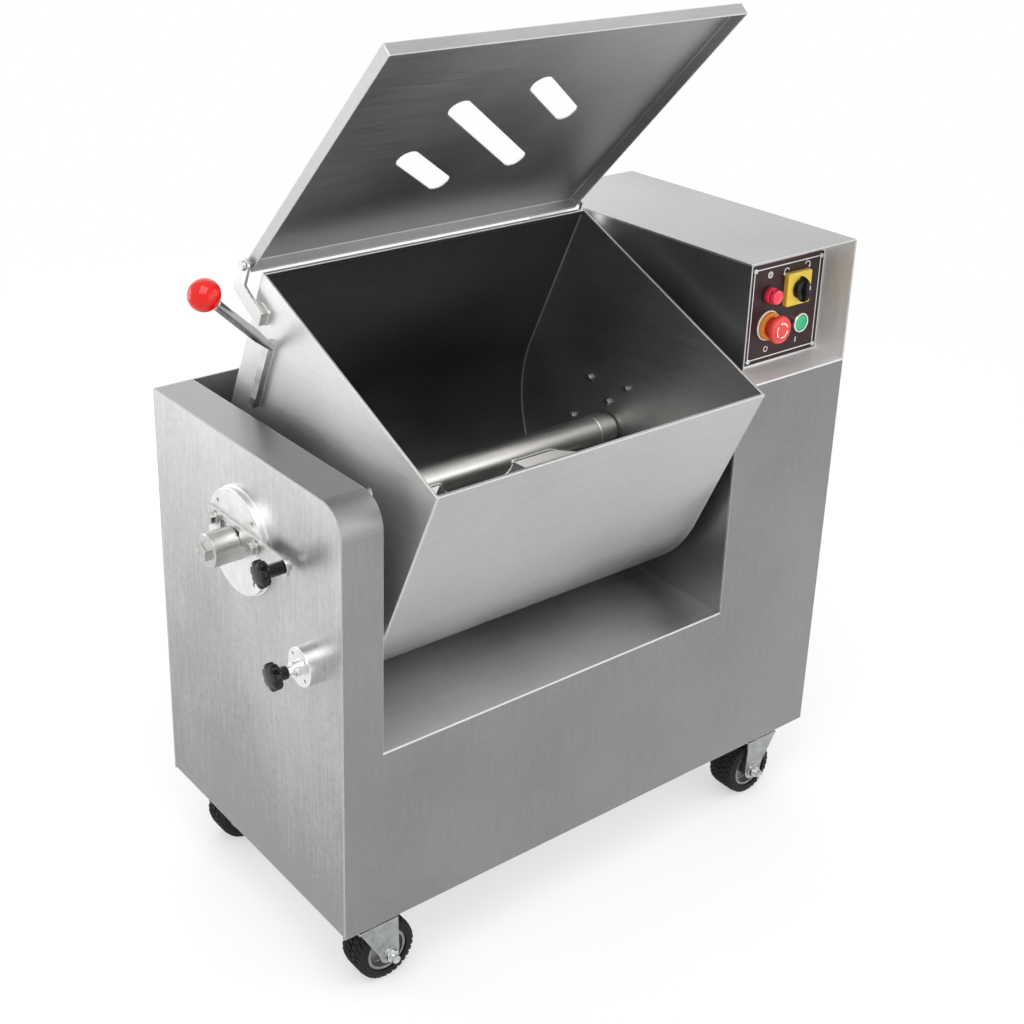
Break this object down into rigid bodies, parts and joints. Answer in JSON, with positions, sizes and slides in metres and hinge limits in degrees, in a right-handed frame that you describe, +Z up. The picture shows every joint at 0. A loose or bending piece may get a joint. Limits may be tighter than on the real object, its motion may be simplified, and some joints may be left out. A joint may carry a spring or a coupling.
{
  "type": "meat mixer",
  "caption": "Stainless steel tilting meat mixer: U-shaped bowl with slotted lid and plough paddles between a bearing pedestal and a drive tower, on swivel casters.",
  "frame": {"origin": "on the floor, in the middle of the machine's footprint, lever, knobs and cable gland included", "axes": "+X along the mixing shaft towards the drive tower, +Y to the back, +Z up"},
  "size_m": [0.9128, 0.5314, 1.2248],
  "materials": {
    "cabinet_steel": "brushed",
    "bowl_steel": "brushed",
    "turned_steel": "turned",
    "bronze": "turned",
    "gearbox_paint": "satin",
    "motor_paint": "satin",
    "black_plastic": "matte",
    "red_plastic": "gloss",
    "stop_red": "matte",
    "collar_yellow": "matte",
    "plate_yellow": "matte",
    "lamp_red": "gloss",
    "start_green": "gloss",
    "bezel_chrome": "polished",
    "panel_plate": "satin",
    "zinc": "zinc plated",
    "wheel_grey": "matte",
    "tyre_rubber": "matte"
  },
  "bodies": {
    "cabinet": {"base_plate": "cabinet_steel", "front_wrap": "cabinet_steel", "left_side_panel": "cabinet_steel", "recess_liner": "cabinet_steel", "tower_inner_wall": "cabinet_steel", "tower_cover": "cabinet_steel", "niche_shelf": "cabinet_steel", "rear_panel": "cabinet_steel", "service_cover": "cabinet_steel", "cable_gland": "black_plastic", "left_bearing_housing": "turned_steel", "left_backing_ring": "turned_steel", "bearing_bushes": "bronze", "right_bearing_housing": "turned_steel", "stub_shaft": "turned_steel", "stub_bolt": "turned_steel", "keeper_bolts": "turned_steel", "plunger_housing": "turned_steel", "gearbox": "gearbox_paint", "motor": "motor_paint", "control_plate": "panel_plate", "pilot_lamp": "lamp_red", "selector_plate": "plate_yellow", "stop_collar": "collar_yellow", "start_bezel": "bezel_chrome", "caster_plates": "zinc"},
    "keeper": {"keeper_bar": "turned_steel", "keeper_knob": "black_plastic", "keeper_nut": "turned_steel"},
    "plunger": {"plunger_pin": "turned_steel", "plunger_knob": "black_plastic"},
    "selector": {"selector_knob": "black_plastic"},
    "stop_button": {"stop_head": "stop_red"},
    "start_button": {"start_cap": "start_green"},
    "bowl": {"bowl_wrap": "bowl_steel", "bowl_left_end": "bowl_steel", "bowl_right_end": "bowl_steel", "trunnions": "turned_steel", "trunnion_bolts": "turned_steel", "hinge_straps": "turned_steel", "tilt_lever": "turned_steel", "lever_ball": "red_plastic"},
    "lid": {"lid_panel": "bowl_steel", "hinge_pins": "turned_steel"},
    "mixer": {"mixer_shaft": "turned_steel", "drive_shaft": "turned_steel", "paddles": "bowl_steel"},
    "fork_front_left": {"caster_fork_front_left": "zinc"},
    "wheel_front_left": {"caster_hub_front_left": "wheel_grey", "caster_tyre_front_left": "tyre_rubber"},
    "fork_front_right": {"caster_fork_front_right": "zinc"},
    "wheel_front_right": {"caster_hub_front_right": "wheel_grey", "caster_tyre_front_right": "tyre_rubber"},
    "fork_rear_left": {"caster_fork_rear_left": "zinc"},
    "wheel_rear_left": {"caster_hub_rear_left": "wheel_grey", "caster_tyre_rear_left": "tyre_rubber"},
    "fork_rear_right": {"caster_fork_rear_right": "zinc"},
    "wheel_rear_right": {"caster_hub_rear_right": "wheel_grey", "caster_tyre_rear_right": "tyre_rubber"}
  },
  "joints": [
    {"name": "bowl_tilt", "type": "hinge", "parent": "cabinet", "child": "bowl", "pos_m": [0.0314, 0.02069, 0.5905], "axis": [1, 0, 0], "range_deg": [-24.1, 66]},
    {"name": "lid_hinge", "type": "hinge", "parent": "bowl", "child": "lid", "pos_m": [0.0314, 0.12654, 0.90734], "axis": [1, 0, 0], "range_deg": [-30, 70.6]},
    {"name": "mixer_spin", "type": "hinge", "parent": "cabinet", "child": "mixer", "pos_m": [0.0314, 0.02069, 0.5905], "axis": [1, 0, 0], "continuous": true},
    {"name": "keeper_slide", "type": "slide", "parent": "cabinet", "child": "keeper", "axis": [0, -1, 0], "range_m": [0, 0.007]},
    {"name": "plunger_slide", "type": "slide", "parent": "cabinet", "child": "plunger", "axis": [1, 0, 0], "range_m": [0, 0.006]},
    {"name": "selector_turn", "type": "hinge", "parent": "cabinet", "child": "selector", "pos_m": [0.3964, -0.15131, 0.822], "axis": [0, -1, 0], "range_deg": [-60, 60]},
    {"name": "stop_push", "type": "slide", "parent": "cabinet", "child": "stop_button", "axis": [0, 1, 0], "range_m": [0, 0.004]},
    {"name": "start_push", "type": "slide", "parent": "cabinet", "child": "start_button", "axis": [0, 1, 0], "range_m": [0, 0.004], "stiffness_N_per_m": 600, "springref_m": -0.002},
    {"name": "swivel_front_left", "type": "hinge", "parent": "cabinet", "child": "fork_front_left", "pos_m": [-0.3356, -0.15531, 0.059], "axis": [0, 0, 1], "continuous": true},
    {"name": "roll_front_left", "type": "hinge", "parent": "fork_front_left", "child": "wheel_front_left", "pos_m": [-0.3126, -0.15531, 0.044], "axis": [0, 1, 0], "continuous": true},
    {"name": "swivel_front_right", "type": "hinge", "parent": "cabinet", "child": "fork_front_right", "pos_m": [0.3984, -0.15531, 0.059], "axis": [0, 0, 1], "continuous": true},
    {"name": "roll_front_right", "type": "hinge", "parent": "fork_front_right", "child": "wheel_front_right", "pos_m": [0.3754, -0.15531, 0.044], "axis": [0, 1, 0], "continuous": true},
    {"name": "swivel_rear_left", "type": "hinge", "parent": "cabinet", "child": "fork_rear_left", "pos_m": [-0.3356, 0.20469, 0.059], "axis": [0, 0, 1], "continuous": true},
    {"name": "roll_rear_left", "type": "hinge", "parent": "fork_rear_left", "child": "wheel_rear_left", "pos_m": [-0.3126, 0.20469, 0.044], "axis": [0, 1, 0], "continuous": true},
    {"name": "swivel_rear_right", "type": "hinge", "parent": "cabinet", "child": "fork_rear_right", "pos_m": [0.3984, 0.20469, 0.059], "axis": [0, 0, 1], "continuous": true},
    {"name": "roll_rear_right", "type": "hinge", "parent": "fork_rear_right", "child": "wheel_rear_right", "pos_m": [0.3754, 0.20469, 0.044], "axis": [0, 1, 0], "continuous": true}
  ]
}
